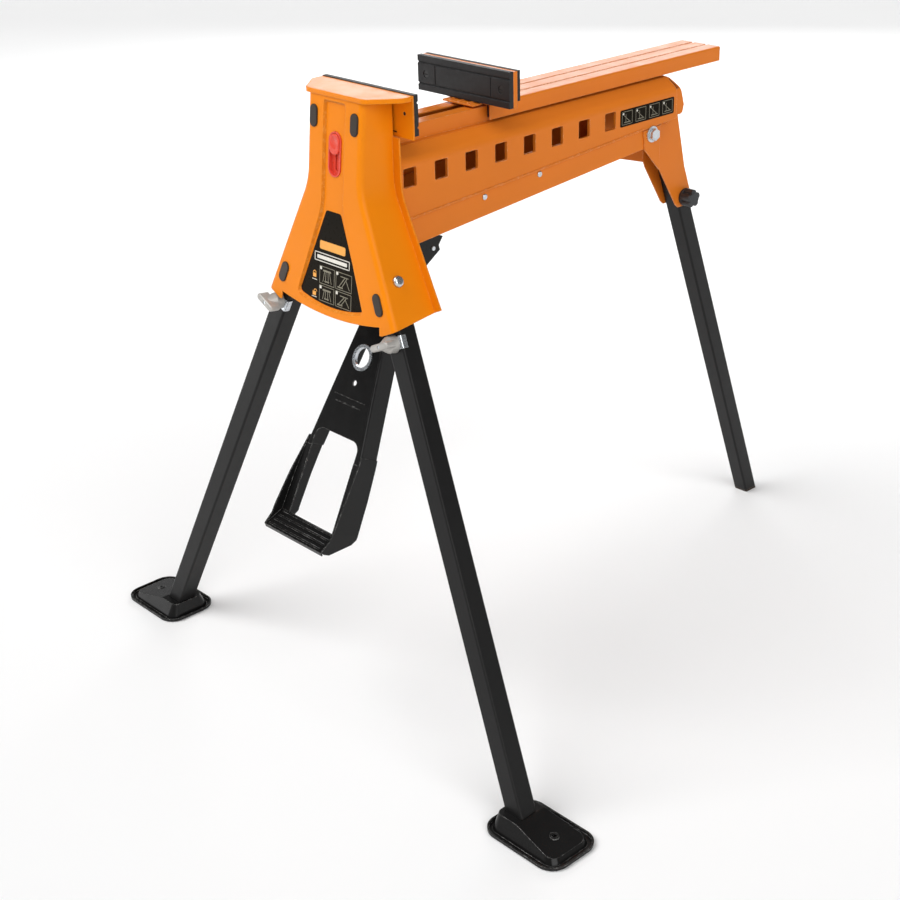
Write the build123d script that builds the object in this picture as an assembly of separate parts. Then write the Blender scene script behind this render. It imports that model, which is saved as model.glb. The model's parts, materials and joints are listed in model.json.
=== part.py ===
from build123d import *
from math import atan2, cos, degrees, radians, sin, tan
import os

# Folding clamping sawhorse: a pressed-steel head with a fixed jaw, a box beam that runs back
# from it, an arm with the moving jaw that slides along the beam, a foot pedal that pulls the
# jaw shut through a drive bar, two splayed front legs and one rear leg that fold away.
# Millimetres. X is to the right, Y runs from the head to the rear, Z is up and the floor is Z = 0.
# While modelling, Y = 0 is the clamping face of the fixed jaw. The finished pieces are moved along
# Y once, so that the origin is the middle of the footprint.

# ---------------------------------------------------------------- driving dimensions
jaw_top = 885.0            # working height: top of the jaw pads above the floor
jaw_width = 178.0
jaw_opening = 159.7        # gap between the pads as modelled
jaw_opening_max = 425.0    # widest gap the arm slides to
sheet = 2.0                # head, brackets, pedal
beam_sheet = 2.0           # beam, pan and arm

# head
head_lean = 6.2            # the head's face leans forward going down, degrees
head_front_y = -59.2       # the face at the height of the jaw top
head_back_y = -12.5        # rear flange, where the beam starts
head_half_top = 54.0       # half width of the upper, straight part
head_drop = 289.0          # down to the bottom of the flared sides, along the face
skirt_sag = 8.0            # the face's bottom edge bows down in the middle
flange_reach = 13.0        # the rear flange's width
corner_round = 8.0         # bend between face and sides
flare_blend = 80.0
panel_depth = 3.5          # the middle panel is pressed in this deep
deck_thick = 2.5
deck_lip = 6.0
deck_top_drop = 1.0        # the deck lies this far under the top of the pads

# legs
leg_tube = 29.0
rear_tube = 27.2
tube_wall = 2.0
leg_splay = 25.25          # front legs, measured in the head's face, degrees
leg_pivot_x = 87.0
leg_pivot_drop = 232.0     # pivot below the jaw top, along the face
leg_inset = 25.3           # leg's axis behind the head's face
leg_stub = 14.5            # tube past the pivot
leg_bolt_d = 10.0
fit = 0.08                 # radial running fit on bolts, pins and the pedal shaft
slip = 0.4                 # gap between a tube and what straddles it

# foot pads of the front legs
foot_length = 132.0
foot_width = 92.0
foot_outboard = 35.0       # the pad's middle lies outboard of the leg
foot_slope_low = 8.0       # height of the dome's outboard end
foot_rim = 6.0

# beam
beam_half = 57.5
beam_back_y = 541.0
rail_half = 28.5
rail_slot_half = 9.0
shoulder_drop = 76.0       # foot of the rail below the jaw top
side_top_drop = 92.0       # where the shoulder has turned into the side
shell_edge_front = 169.6   # lower edge of the upper shell, below the jaw top, at Y = 0
shell_edge_rise = 0.0631   # rise of that edge per mm towards the rear
pan_edge_front = 207.0     # bottom of the pan at Y = 0
pan_edge_rise = 0.0804
pan_overlap = 15.0
hole_top = 100.8
hole_height = 25.4
hole_length = 22.7
hole_pitch = 54.86
hole_count = 8
hole_first_y = -1.4
hole_rim = 1.6             # the windows' edges are turned in
hole_rim_depth = 3.0

# sliding arm
arm_top_drop = 51.2
arm_half = 38.35
arm_side = 21.5
arm_length = 490.0
arm_front_gap = 13.5       # the arm starts behind the moving pad's face
glide_thick = 2.0
glide_clear = 0.3

# jaws
fixed_pad_thick = 7.0
fixed_pad_height = 52.0
fixed_plate_height = 56.5
nose_half = 29.35          # tongue in front of the moving jaw, which runs in under the fixed pad
nose_clear = 1.6
nose_notch_drop = 47.8
moving_pad_thick = 7.5
moving_pad_height = 48.0
moving_plate_thick = 7.3
rear_pad_thick = 5.0
rear_pad_height = 40.0
pad_groove = 2.0
pad_end_square = 35.0
pad_screw_x = 73.0
pad_screw_drop = 25.0
pad_screw_d = 5.0
pad_screw_clear = 0.6     # on the diameter of the holes it passes

# pedal and drive
pedal_pivot_y = -14.0
pedal_pivot_drop = 250.0
pedal_lean = 27.0          # plate's slope from the vertical, forward going down
pedal_plane_y = -19.7      # the plate's face at pedal_plane_drop
pedal_plane_drop = 330.0
pedal_stroke = 25.0        # degrees
pedal_shaft_d = 14.0
drive_drop = 135.0         # drive pin below the jaw top
drive_pin_d = 8.0
drive_slot_gap = 0.5
bar_top_drop = 84.0
bar_thick = 8.0
bar_half = 10.0
bar_back_y = 528.0

# rear leg and its bracket
rear_lean = 20.9
rear_pivot_y = 566.3
rear_pivot_drop = 147.0
rear_stub = 14.0
rear_pin_d = 10.0
rear_bolt_y = 486.0
rear_bolt_drop = 149.0
rear_bolt_d = 10.0
rear_bolt_hole = 10.2


# ---------------------------------------------------------------- helpers
def up(drop):
    """Height of something that lies 'drop' below the top of the jaws."""
    return jaw_top - drop


def block(x0, x1, y0, y1, z0, z1):
    size = Box(abs(x1 - x0), abs(y1 - y0), abs(z1 - z0))
    return Pos((x0 + x1) / 2, (y0 + y1) / 2, (z0 + z1) / 2) * size


def side_plate(points, x0, x1, rounding=0.0):
    """A plate square to X. Its outline is given as (y, drop below the jaw top)."""
    wire = Polyline(*[(y, up(drop)) for y, drop in points], close=True)
    face = make_face(wire)
    if rounding:
        face = fillet(face.vertices(), rounding)
    plane = Plane(origin=(min(x0, x1), 0, 0), x_dir=(0, 1, 0), z_dir=(1, 0, 0))
    return extrude(plane * face, abs(x1 - x0))


def rod(start, end, diameter):
    start = Vector(*start)
    run = Vector(*end) - start
    plane = Plane(origin=start, z_dir=run)
    return extrude(plane * Circle(diameter / 2), run.length)


def hexagon(start, end, across_flats):
    start = Vector(*start)
    run = Vector(*end) - start
    plane = Plane(origin=start, z_dir=run)
    return extrude(plane * RegularPolygon(across_flats / 2, 6, major_radius=False), run.length)


def both_sides(shape):
    """The shape and its mirror image in the plane X = 0, as two solids."""
    return [shape, mirror(shape, about=Plane.YZ)]


def square_tube(size, wall, length):
    """Square tube along local Z with rounded corners, centred on its axis."""
    outer = RectangleRounded(size, size, 3.0)
    inner = RectangleRounded(size - 2 * wall, size - 2 * wall, 1.2)
    return extrude(outer - inner, length)


def dome_head(start, direction, diameter, height):
    """A domed bolt or rivet head that stands on 'start'."""
    plane = Plane(origin=start, z_dir=direction)
    disc = extrude(plane * Circle(diameter / 2), height)
    rims = disc.edges().filter_by(GeomType.CIRCLE)
    far = max(rims, key=lambda e: (e.center() - Vector(*start)).length)
    return fillet(far, height * 0.7)


pieces = {}


def keep(name, *shapes):
    """Store the solids of one node."""
    solids = []
    for shape in shapes:
        for item in (shape if isinstance(shape, list) else [shape]):
            solids += item.solids()
    pieces[name] = solids


# ---------------------------------------------------------------- head
lean = radians(head_lean)
face_plane = Plane(origin=(0, head_front_y, jaw_top), x_dir=(1, 0, 0),
                   z_dir=(0, -cos(lean), sin(lean)))
face_out = face_plane.z_dir
face_up = face_plane.y_dir
splay = radians(leg_splay)
leg_down = Vector(sin(splay), 0, 0) - face_up * cos(splay)
leg_out = Vector(cos(splay), 0, 0) + face_up * sin(splay)
leg_pivot = face_plane.from_local_coords(Vector(leg_pivot_x, -leg_pivot_drop, -leg_inset))
side_gap = 1.8                                        # washer between leg and side
side_offset = leg_tube / 2 + side_gap + sheet         # leg's axis to the outside of the flare


def flare_x(drop):
    """Outer half width of the flared part, 'drop' down the face."""
    return leg_pivot_x + side_offset / cos(splay) + (drop - leg_pivot_drop) * tan(splay)


bend_drop = leg_pivot_drop - (flare_x(leg_pivot_drop) - head_half_top) / tan(splay)
side_end_drop = head_drop - 5.0
side_end_front = 63.3        # the sides end this far down the leg from its pivot, at the face
side_end_rear = 50.0         # and at the rear flange
tab_inner_x = 101.0
tab_drop = head_drop
leg_plane = Plane(origin=leg_pivot, x_dir=leg_out, z_dir=leg_down)


def head_outline(grow=0.0, below=0.0):
    """Outline of the head in its face plane. 'grow' moves the sides out, 'below' the bottom down."""
    turn = grow / cos(splay)
    kink = bend_drop + grow * tan(splay / 2)
    low = side_end_drop + below
    corner = flare_x(low) + turn
    top = 20.0
    right = [(head_half_top + grow, top), (head_half_top + grow, -kink), (corner, -low)]
    left = [(-x, y) for x, y in reversed(right)]
    face = make_face(Polyline(*(right + left), close=True))
    kinks = [v for v in face.vertices() if abs(v.Y + kink) < 0.01]
    return fillet(kinks, flare_blend)


def head_body(grow, front_in, below=0.0):
    """Solid of the head's outline, from 'front_in' behind the face to well behind the head."""
    outline = head_outline(grow, below)
    start = face_plane.offset(-front_in)
    solid = extrude(start * outline, -200.0)
    if corner_round + grow > 0:
        edges = [e for e in solid.edges()
                 if abs(start.to_local_coords(e.center()).Z) < 0.1
                 and abs(e.center().X) > head_half_top / 2]
        solid = fillet(edges, corner_round + grow)
    return solid


def skirt_cutter():
    """What is cut away under the face: a shallow bow between the two tabs."""
    edge_drop = head_drop - skirt_sag
    bow = ThreePointArc((-tab_inner_x, -edge_drop), (0, -edge_drop - skirt_sag - 3.0),
                        (tab_inner_x, -edge_drop))
    rest = Polyline((tab_inner_x, -edge_drop), (tab_inner_x + 5, -tab_drop - 60),
                    (-tab_inner_x - 5, -tab_drop - 60), (-tab_inner_x, -edge_drop))
    return extrude(face_plane.offset(10) * make_face(bow + rest), -60)


def side_cutter():
    """What is cut away under the sides: square to the leg at the face, rising to the rear."""
    outline = Polyline((40.0, side_end_front + 2.0), (-80.0, side_end_rear - 8.0),
                       (-80.0, 250.0), (40.0, 250.0), close=True)
    plane = Plane(origin=leg_plane.origin, x_dir=face_out, z_dir=leg_out)
    # the sketch's y axis must run down the leg
    face = make_face(outline)
    if plane.y_dir.dot(leg_down) < 0:
        face = mirror(face, about=Plane.XZ)
    return extrude(plane * face, 60, both=True)


def make_head_shell():
    outer = head_body(0.0, 0.0, below=8.0)
    inner = head_body(-sheet, sheet, below=40.0)
    shell = outer - inner
    shell -= block(-300, 300, head_back_y, 400, 0, 2000)
    shell -= block(-300, 300, -400, 400, up(deck_top_drop + deck_thick), 2000)
    # rear flange, turned outwards, square to Y
    wide = extrude(face_plane * head_outline(flange_reach, below=8.0), -200.0)
    narrow = extrude(face_plane * head_outline(-0.01, below=60.0), -200.0)
    flange = (wide - narrow) & block(-300, 300, head_back_y - sheet, head_back_y,
                                     up(head_drop + 60), up(fixed_plate_height))
    shell += flange
    cutter = side_cutter()
    shell -= cutter
    shell -= mirror(cutter, about=Plane.YZ)
    # the middle panel is pressed in: its back first, then the recess
    backing = panel_solid(sheet * 1.3, -panel_depth - sheet, -sheet / 2)
    shell += backing
    shell -= skirt_cutter()
    shell -= panel_recess()
    shell -= switch_hole()
    for x, drop, tilt, length in plug_places:
        for sign in (1, -1):
            hole = SlotOverall(length - 3.0, plug_width - 3.0)
            at = face_plane.offset(5) * Pos(sign * x, -drop) * Rot(0, 0, 90 + sign * tilt) * hole
            shell -= extrude(at, -12)
    for sign in (1, -1):
        centre = Vector(sign * leg_pivot.X, leg_pivot.Y, leg_pivot.Z)
        way = Vector(sign * leg_out.X, leg_out.Y, leg_out.Z)
        shell -= rod(centre, centre + way * 40, leg_bolt_d + 2 * fit)
    for x, drop in bracket_screws:
        shell -= extrude(face_plane.offset(5) * Pos(x, -drop) * Circle(3.1), -12)
    return shell


# pressed-in middle panel: narrow at the switch, wide at the bottom
panel_half_top = 19.5
panel_half_low = 66.0
panel_top_drop = 14.0
panel_turn_drop = 150.0
panel_low_drop = 272.0
panel_sag = 9.5             # its bottom edge bows down in the middle, as the skirt does
panel_bevel = 3.0


def panel_face(grow=0.0):
    right = [(panel_half_top + grow, -panel_top_drop + grow), (panel_half_top + grow, -panel_turn_drop),
             (panel_half_low + grow, -panel_low_drop - grow)]
    left = [(-x, y) for x, y in reversed(right)]
    bow = ThreePointArc(right[-1], (0, -panel_low_drop - grow - panel_sag), left[0])
    face = make_face(Polyline(*(left + right)) + bow)
    turns = [v for v in face.vertices() if abs(v.Y + panel_turn_drop) < 0.01]
    face = fillet(turns, 90)
    low = [v for v in face.vertices() if v.Y < -panel_low_drop + 0.01]
    face = fillet(low, 6)
    top = [v for v in face.vertices() if v.Y > -panel_top_drop - 0.01]
    return fillet(top, 4)


def panel_solid(grow, depth0, depth1):
    return extrude(face_plane.offset(depth0) * panel_face(grow), depth1 - depth0)


def panel_recess():
    """The recess with a bevelled rim."""
    recess = panel_solid(0.0, -panel_depth, 8.0)
    bevel = [panel_solid(panel_bevel * k / 3, -panel_depth * (1 - k / 3), 8.0) for k in (1, 2, 3)]
    for step in bevel:
        recess += step
    return recess


# red lock switch in the face
switch_width = 24.0
switch_length = 58.0
switch_drop = 78.5
switch_wall = 2.0
switch_travel = 26.0


def switch_hole():
    slot = SlotOverall(switch_length, switch_width)
    return extrude(face_plane.offset(8) * Pos(0, -switch_drop) * Rot(0, 0, 90) * slot, -25)


def switch_slab(length, width, depth0, depth1, shift=0.0):
    slot = SlotOverall(length, width)
    start = face_plane.offset(depth0 - panel_depth) * Pos(0, -switch_drop + shift) * Rot(0, 0, 90)
    return extrude(start * slot, depth1 - depth0)


def make_switch():
    rim_out = 1.6
    tray = switch_slab(switch_length, switch_width, -5.0, rim_out)
    tray -= switch_slab(switch_length - 2 * switch_wall, switch_width - 2 * switch_wall,
                        -3.5, rim_out + 1)
    flange = switch_slab(switch_length + 6, switch_width + 6, -5.0, -sheet)
    flange -= switch_slab(switch_length - 0.02, switch_width - 0.02, -6.0, 0)
    stem_slot = switch_slab(switch_length - 14.0, 7.0, -7.0, 1.0)
    keep("switch_bezel", (tray + flange) - stem_slot)
    # the thumb piece sits at the top of its slot and slides down to unlock
    clear = 0.5
    length = switch_length - 2 * switch_wall - 2 * clear - switch_travel
    width = switch_width - 2 * switch_wall - 2 * clear
    rise = switch_travel / 2
    thumb = switch_slab(length, width, -3.2, rim_out + 1.6, rise)
    top_edges = [e for e in thumb.edges()
                 if abs(face_plane.to_local_coords(e.center()).Z + panel_depth - rim_out - 1.6) < 0.05]
    thumb = fillet(top_edges, 1.4)
    dish = face_plane * Pos(0, -switch_drop + rise + 2.0, rim_out - panel_depth + 22.0) * Sphere(21.8)
    thumb -= dish
    latch_front = -5.3
    latch_thick = 2.5
    stem = switch_slab(12.0, 5.0, latch_front, -3.0, rise)
    keep("switch_thumb", thumb + stem)
    # long enough to close the stem's slot from behind over the whole travel
    latch = face_plane * Pos(0, -switch_drop + rise, latch_front - panel_depth - latch_thick / 2)
    latch = latch * Box(20.0, 70.0, latch_thick)
    hook = face_plane * Pos(0, -switch_drop + rise - 20.0, latch_front - panel_depth - latch_thick - 3.0)
    keep("switch_latch", latch + hook * Box(10.0, 4.0, 6.0))


# oval rubber plugs in the face: (x, drop, tilt, length)
plug_width = 14.5
flare_tilt = 23.0
plug_places = [(40.0, 35.0, 0.0, 29.0), (96.5, 253.0, flare_tilt, 30.0)]


def make_plugs():
    plugs = []
    for x, drop, tilt, length in plug_places:
        for sign in (1, -1):
            turn = Rot(0, 0, 90 + sign * tilt)
            base = face_plane * Pos(sign * x, -drop) * turn
            cap = extrude(base * SlotOverall(length, plug_width), 2.0)
            edges = [e for e in cap.edges()
                     if abs(face_plane.to_local_coords(e.center()).Z - 2.0) < 0.05]
            cap = fillet(edges, 1.2)
            neck = extrude(base * SlotOverall(length - 3.2, plug_width - 3.2), -sheet - 1.5)
            plugs.append(cap + neck)
    keep("head_plugs", plugs)


def deck_outline(inset=0.0):
    half = jaw_width / 2 - inset
    front = head_front_y - 2.2 + inset
    back = -fixed_pad_thick
    chamfer_y = -25.0
    front_half = head_half_top + 3.0 - inset * tan(radians(22.5))
    right = [(half, back), (half, chamfer_y), (front_half, front)]
    left = [(-x, y) for x, y in reversed(right)]
    face = make_face(Polyline(*(right + left), close=True))
    corners = [v for v in face.vertices() if v.Y < back - 1]
    return fillet(corners, 14.0 - inset)


def nose_notch(depth):
    """Clearance in the bottom edge of the fixed jaw for the moving jaw's tongue and the rail."""
    half = nose_half + nose_clear
    return block(-half, half, -20, 5, up(depth + 5), up(nose_notch_drop))


def make_fixed_jaw():
    top = up(deck_top_drop)
    deck = extrude(Plane(origin=(0, 0, top - deck_lip)) * deck_outline(), deck_lip)
    hollow = extrude(Plane(origin=(0, 0, top - deck_lip - 1)) * deck_outline(0.9),
                     deck_lip - deck_thick + 1)
    hollow += block(-jaw_width, jaw_width, -fixed_pad_thick - 4, 5, top - deck_lip - 1,
                    top - deck_thick)
    deck -= hollow
    rim = deck.edges().group_by(Axis.Z)[-1].filter_by(lambda e: e.center().Y < -fixed_pad_thick - 1)
    deck = fillet(rim, 0.8)
    keep("head_deck", deck)
    plate = block(-jaw_width / 2, jaw_width / 2, -fixed_pad_thick - sheet, -fixed_pad_thick,
                  up(fixed_plate_height), top - deck_thick)
    plate -= nose_notch(fixed_plate_height)
    for x in (-pad_screw_x, pad_screw_x):
        plate -= rod((x, -20, up(pad_screw_drop)), (x, 5, up(pad_screw_drop)), pad_screw_d)
    relief = block(48.0, 57.0, -20, 0, up(51.6), up(49.4))
    plate -= relief
    plate -= mirror(relief, about=Plane.YZ)
    keep("fixed_jaw_plate", plate)


def jaw_pad(face_y, thick, height, grooved=True, facing=-1):
    """Rubber-faced pad. 'facing' is the Y direction that its gripping face looks."""
    back_y = face_y - facing * thick
    pad = block(-jaw_width / 2, jaw_width / 2, face_y, back_y, up(height), up(0))
    if grooved:
        for drop in (height * 0.2, height * 0.8):
            pad -= block(-jaw_width, jaw_width, face_y - 1, face_y + 1, up(drop + 1.6), up(drop - 1.6))
            pad -= block(-jaw_width, jaw_width, face_y - pad_groove, face_y + pad_groove,
                         up(drop + 0.8), up(drop - 0.8))
        for sign in (1, -1):
            x = sign * (jaw_width / 2 - pad_end_square)
            pad -= block(x - 0.9, x + 0.9, face_y - 1, face_y + 1, up(height * 0.8), up(height * 0.2))
    for x in (-pad_screw_x, pad_screw_x):
        z = up(pad_screw_drop)
        pad -= rod((x, face_y - 20, z), (x, face_y + 20, z), pad_screw_d + pad_screw_clear)
        pad -= rod((x, face_y + facing, z), (x, face_y - facing * 3.5, z), 10.6)
    return pad


def pad_screw(x, head_y, end_y):
    """Pan-head screw along Y whose head lies in the pad; its shank is tapped into the plate."""
    way = 1 if end_y > head_y else -1
    z = up(pad_screw_drop)
    head = rod((x, head_y, z), (x, head_y + way * 2.6, z), 10.0)
    head -= block(x - 3.6, x + 3.6, head_y - 1.2, head_y + 1.2, z - 0.7, z + 0.7)
    head -= block(x - 0.7, x + 0.7, head_y - 1.2, head_y + 1.2, z - 3.6, z + 3.6)
    return head + rod((x, head_y + way * 2.6, z), (x, end_y, z), pad_screw_d)


def make_fixed_pad():
    pad = jaw_pad(0.0, fixed_pad_thick, fixed_pad_height, facing=1)
    keep("fixed_jaw_pad", pad - nose_notch(fixed_pad_height))
    back = -fixed_pad_thick - sheet
    screws = [pad_screw(x, -0.9, back + 0.5) for x in (-pad_screw_x, pad_screw_x)]
    keep("fixed_jaw_screws", screws)


# ---------------------------------------------------------------- beam
rail_top_drop = arm_top_drop + beam_sheet + glide_thick + glide_clear
beam_front_y = head_back_y


def beam_profile(inset, low):
    """Section of the upper shell, drop measured down, as a closed face in (x, z)."""
    right = [(rail_half - inset, up(rail_top_drop + inset)),
             (rail_half - inset, up(shoulder_drop + inset)),
             (rail_half + 8.0 - inset, up(shoulder_drop + inset + 1.0)),
             (beam_half - inset, up(side_top_drop + inset * 0.4)),
             (beam_half - inset, up(low))]
    left = [(-x, z) for x, z in reversed(right)]
    face = make_face(Polyline(*(right + left), close=True))
    bends = [v for v in face.vertices()
             if abs(abs(v.X) - beam_half + inset) < 0.01 and v.Y > up(low) + 1]
    return fillet(bends, 14.0 - inset)


def along_y(face, y0, y1):
    """Extrude a face drawn in (x, z) between two Y values."""
    plane = Plane(origin=(0, y1, 0), x_dir=(1, 0, 0), z_dir=(0, -1, 0))
    return extrude(plane * face, y1 - y0)


def shell_edge(y):
    return shell_edge_front - shell_edge_rise * y


def pan_edge(y):
    return pan_edge_front - pan_edge_rise * y


def make_beam_shell():
    low = shell_edge_front + 10
    shell = along_y(beam_profile(0.0, low), beam_front_y, beam_back_y)
    shell -= along_y(beam_profile(beam_sheet, low + 5), beam_front_y - 1, beam_back_y + 1)
    shell -= block(-rail_slot_half, rail_slot_half, 12.0, beam_back_y + 5,
                   up(rail_top_drop + 5), up(rail_top_drop - 5))
    y0, y1 = beam_front_y - 5, beam_back_y + 5
    shell -= side_plate([(y0, shell_edge(y0)), (y1, shell_edge(y1)), (y1, 260), (y0, 260)], -80, 80)
    inside = beam_half - beam_sheet
    for n in range(hole_count):
        y = hole_first_y + n * hole_pitch
        plane = Plane(origin=(0, y + hole_length / 2, up(hole_top + hole_height / 2)),
                      x_dir=(0, 1, 0), z_dir=(1, 0, 0))
        turned_in = RectangleRounded(hole_length + 2 * hole_rim, hole_height + 2 * hole_rim, 3.0)
        lip = extrude(plane.offset(inside - hole_rim_depth) * turned_in, hole_rim_depth + 0.5)
        shell += lip
        shell += mirror(lip, about=Plane.YZ)
        window = RectangleRounded(hole_length, hole_height, 2.0)
        shell -= extrude(plane.offset(-80) * window, 160)
    return shell


pan_half = beam_half - beam_sheet
pan_bottom_back_y = 484.0
pan_back_y = 503.0
lever_slot_half = 16.0
lever_slot_back_y = 136.0
pan_pins = [(143.6, 169.0), (250.0, 160.0)]          # (y, drop) of the two cross pins
pan_pin_d = 6.0


def make_beam_pan():
    front = beam_front_y
    top0 = shell_edge(front) - pan_overlap
    top1 = shell_edge(pan_back_y) - pan_overlap + 4
    outline = [(front, top0), (pan_back_y, top1), (pan_back_y, pan_edge(pan_back_y)),
               (front, pan_edge(front))]
    wall = side_plate(outline, pan_half - beam_sheet, pan_half)
    floor_outline = [(front, pan_edge(front) - beam_sheet), (pan_bottom_back_y,
                     pan_edge(pan_bottom_back_y) - beam_sheet),
                     (pan_bottom_back_y, pan_edge(pan_bottom_back_y)), (front, pan_edge(front))]
    floor = side_plate(floor_outline, -pan_half, pan_half)
    pan = floor + wall + mirror(wall, about=Plane.YZ)
    pan -= block(-lever_slot_half, lever_slot_half, front - 5, lever_slot_back_y,
                 up(260), up(150))
    for y, drop in pan_pins:
        pan -= rod((-80, y, up(drop)), (80, y, up(drop)), pan_pin_d)
    pan -= rod((-80, rear_bolt_y, up(rear_bolt_drop)), (80, rear_bolt_y, up(rear_bolt_drop)), rear_bolt_hole)
    return pan


def make_pan_pins():
    pins = []
    for y, drop in pan_pins:
        z = up(drop)
        pin = rod((-pan_half, y, z), (pan_half, y, z), pan_pin_d)
        for sign in (1, -1):
            pin += dome_head((sign * pan_half, y, z), (sign, 0, 0), pan_pin_d + 2.6, 2.0)
        pins.append(pin)
    keep("beam_cross_pins", pins)


cap_reach = 17.0
cap_low_drop = 131.0


def make_end_cap():
    """Pressed cover that closes the rear end of the shell and bulges rearwards at the bottom."""
    b = beam_back_y
    bulge = side_plate([(b, 76), (b + 4, 79), (b + 9, 92), (b + cap_reach, 118),
                        (b + cap_reach - 3, 129), (b + cap_reach - 8, cap_low_drop),
                        (b, cap_low_drop)], -beam_half, beam_half)
    hollow = side_plate([(b - 1, 78), (b + 2.5, 81), (b + 6.8, 92), (b + cap_reach - 2.4, 118),
                         (b + cap_reach - 4.6, 127), (b + cap_reach - 9, cap_low_drop - 2),
                         (b - 1, cap_low_drop - 2)], -beam_half + 2, beam_half - 2)
    cap = (bulge - hollow) & along_y(beam_profile(0.0, cap_low_drop + 20), b, b + 40)
    cap -= block(-rail_half - 1, rail_half + 1, b - 5, b + 40, up(shoulder_drop + 3), up(40))
    return cap


# ---------------------------------------------------------------- sliding arm and moving jaw
arm_front_y = jaw_opening + arm_front_gap
arm_back_y = arm_front_y + arm_length
arm_under = arm_top_drop + beam_sheet
clutch_y0 = arm_front_y + 7.5        # its front stays behind the bar's lug when the jaws meet
clutch_y1 = clutch_y0 + 28.0
clutch_side_half = 16.0
clutch_low_drop = 108.0
clutch_end_y = clutch_y1 + jaw_opening_max - jaw_opening


def make_arm():
    z1 = up(arm_top_drop)
    z0 = up(arm_top_drop + arm_side)
    arm = block(-arm_half, arm_half, arm_front_y, arm_back_y, z0, z1)
    long_edges = [e for e in arm.edges().filter_by(Axis.Y) if e.center().Z > z1 - 1]
    arm = fillet(long_edges, 3.0)
    inner = block(-arm_half + beam_sheet, arm_half - beam_sheet, arm_front_y - 5, arm_back_y + 5,
                  z0 - 5, z1 - beam_sheet)
    arm -= inner
    for x in (-13.0, 13.0):
        arm -= block(x - 1.5, x + 1.5, arm_front_y + 22, arm_back_y + 5, z1 - 0.8, z1 + 1)
        arm -= block(x - 3.0, x + 3.0, arm_back_y - 5, arm_back_y + 5, z1 - 5, z1 + 1)
    keep("sliding_arm", arm)


def glide(y0, y1, under_drop, outer_x, inner_x):
    """L-shaped plastic strip: rides on top of and beside the rail."""
    top = block(rail_slot_half + 3, outer_x, y0, y1, up(under_drop + glide_thick), up(under_drop))
    side = block(inner_x, outer_x, y0, y1, up(shoulder_drop - 5), up(under_drop))
    return top + side


def make_glides():
    front = glide(arm_front_y + 4, arm_front_y + 54, arm_under, arm_half - beam_sheet,
                  rail_half + glide_clear)
    keep("arm_glides", both_sides(front))
    rear = glide(beam_back_y - 40, beam_back_y, rail_top_drop - glide_thick,
                 arm_half - beam_sheet - glide_clear, rail_half)
    keep("rail_glides", both_sides(rear))


def make_moving_jaw():
    face = jaw_opening
    front_pad = jaw_pad(face, moving_pad_thick, moving_pad_height, facing=-1)
    keep("moving_jaw_pad", front_pad)
    plate_y0 = face + moving_pad_thick
    plate_y1 = plate_y0 + moving_plate_thick
    foot_drop = arm_top_drop
    plate = block(-jaw_width / 2, jaw_width / 2, plate_y0, plate_y1, up(moving_pad_height + 1), up(0.6))
    plate -= block(-jaw_width / 2 + sheet, jaw_width / 2 - sheet, plate_y0 + sheet,
                   plate_y1 - sheet, up(moving_pad_height + 5), up(sheet))
    base = block(-arm_half, arm_half, plate_y0, plate_y1 + 6, up(foot_drop), up(foot_drop - 2.2))
    stand = block(-arm_half + 4, arm_half - 4, plate_y0 + sheet, plate_y1 - sheet,
                  up(foot_drop - 2.2), up(12))
    nose = block(-nose_half, nose_half, face - 10, plate_y0, up(foot_drop + 1.2),
                 up(foot_drop - 1.2))
    ribs = [block(x - 1.5, x + 1.5, face - 9, plate_y0, up(foot_drop - 1.2), up(moving_pad_height + 0.6))
            for x in (-18.0, 0.0, 18.0)]
    jaw = plate + stand + base + nose
    for rib in ribs:
        jaw += rib
    for x in (-pad_screw_x, pad_screw_x):
        z = up(pad_screw_drop)
        jaw -= rod((x, plate_y0 - 5, z), (x, plate_y1 + 5, z), pad_screw_d + pad_screw_clear)
    keep("moving_jaw_plate", jaw)
    rear_face = plate_y1 + rear_pad_thick
    rear = jaw_pad(rear_face, rear_pad_thick, rear_pad_height, grooved=False, facing=1)
    keep("rear_jaw_pad", rear)
    screws = []
    for x in (-pad_screw_x, pad_screw_x):
        z = up(pad_screw_drop)
        shank = rod((x, face + 0.9, z), (x, rear_face - 0.9, z), 5.0)
        shank += rod((x, face + 0.9, z), (x, face + 3.5, z), 10.0)
        shank += rod((x, rear_face - 3.5, z), (x, rear_face - 0.9, z), 10.0)
        for y in (face + 0.9, rear_face - 0.9):
            shank -= block(x - 3.6, x + 3.6, y - 1.0, y + 1.0, z - 0.7, z + 0.7)
        screws.append(shank)
    keep("moving_jaw_screws", screws)


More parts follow.
